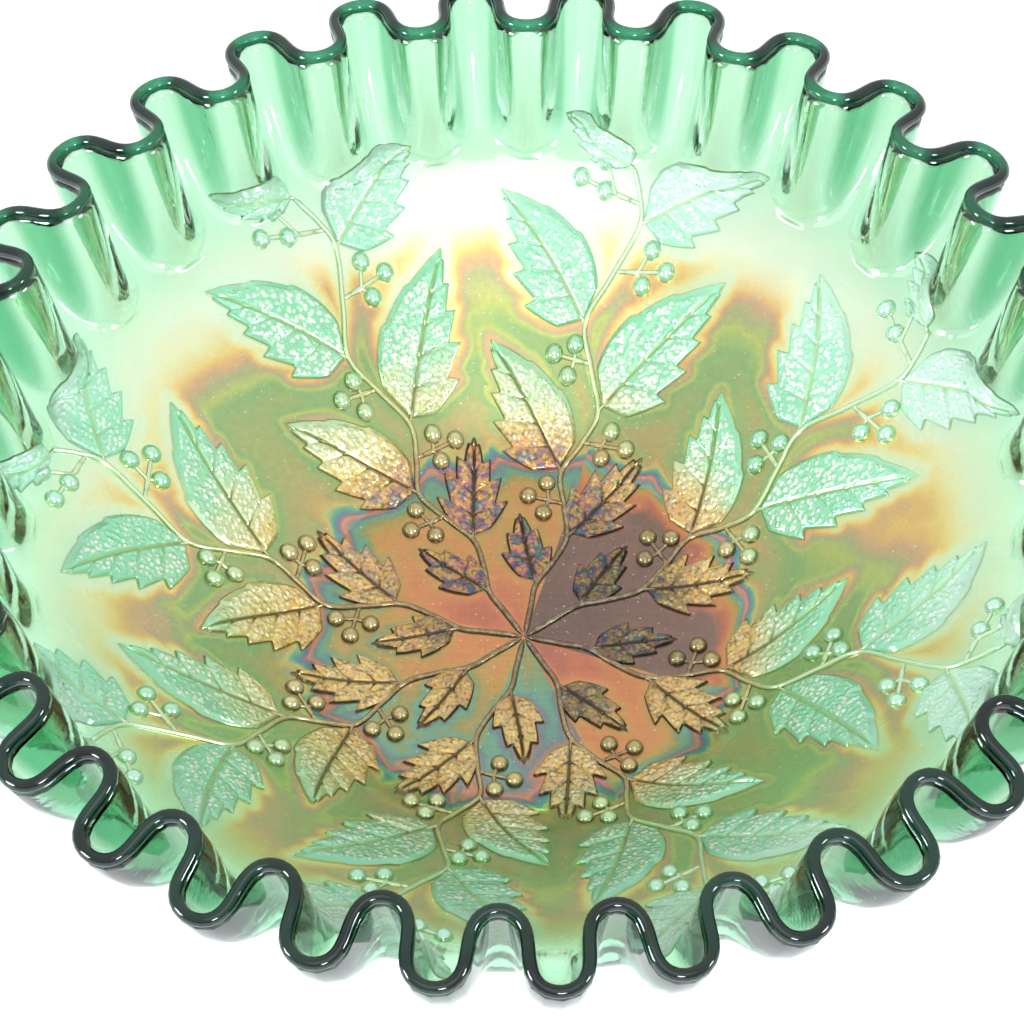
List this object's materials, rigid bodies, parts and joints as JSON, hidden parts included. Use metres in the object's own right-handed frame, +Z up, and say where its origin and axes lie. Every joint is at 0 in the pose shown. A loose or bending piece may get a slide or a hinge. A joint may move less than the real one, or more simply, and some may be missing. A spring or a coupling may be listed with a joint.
{
  "type": "crimped glass bowl",
  "caption": "Footed round art glass bowl with a tightly ruffled rim and a raised pattern of leaf and berry sprays under an iridescent film on the inside.",
  "frame": {"origin": "centre of the foot on the surface the bowl stands on", "axes": "+Z up through the bowl's axis, -Y towards the viewer, +X to the viewer's right"},
  "size_m": [0.2232, 0.2232, 0.0699],
  "materials": {
    "green_glass": "clear emerald green pressed glass, pale where thin and deep green along the folds, with an iridescent film inside",
    "foot_glass": "bare emerald green pressed glass, polished where it rests",
    "lip_glass": "fire-polished rounded edge, almost black-green when seen along the glass",
    "leaf_glass": "stippled raised glass under an iridescent film, from gold and teal in the middle to frosty mint outside",
    "stem_glass": "smooth raised glass under the same iridescent film",
    "berry_glass": "smooth round drops of glass under the same iridescent film, with bright highlights"
  },
  "bodies": {
    "root": {"floor_disc": "green_glass", "foot_ring": "foot_glass", "bowl_wall": "green_glass", "ruffled_rim": "green_glass", "lip_bead": "lip_glass", "spray_stems": "stem_glass", "leaves_ring_1": "leaf_glass", "leaves_ring_2": "leaf_glass", "leaves_ring_3": "leaf_glass", "leaves_ring_4": "leaf_glass", "leaves_ring_5": "leaf_glass", "leaves_ring_6": "leaf_glass", "berry_stalks": "stem_glass", "berries_ring_1": "berry_glass", "berries_ring_2": "berry_glass", "berries_ring_3": "berry_glass", "berries_ring_4": "berry_glass", "berries_ring_5": "berry_glass"}
  },
  "joints": []
}
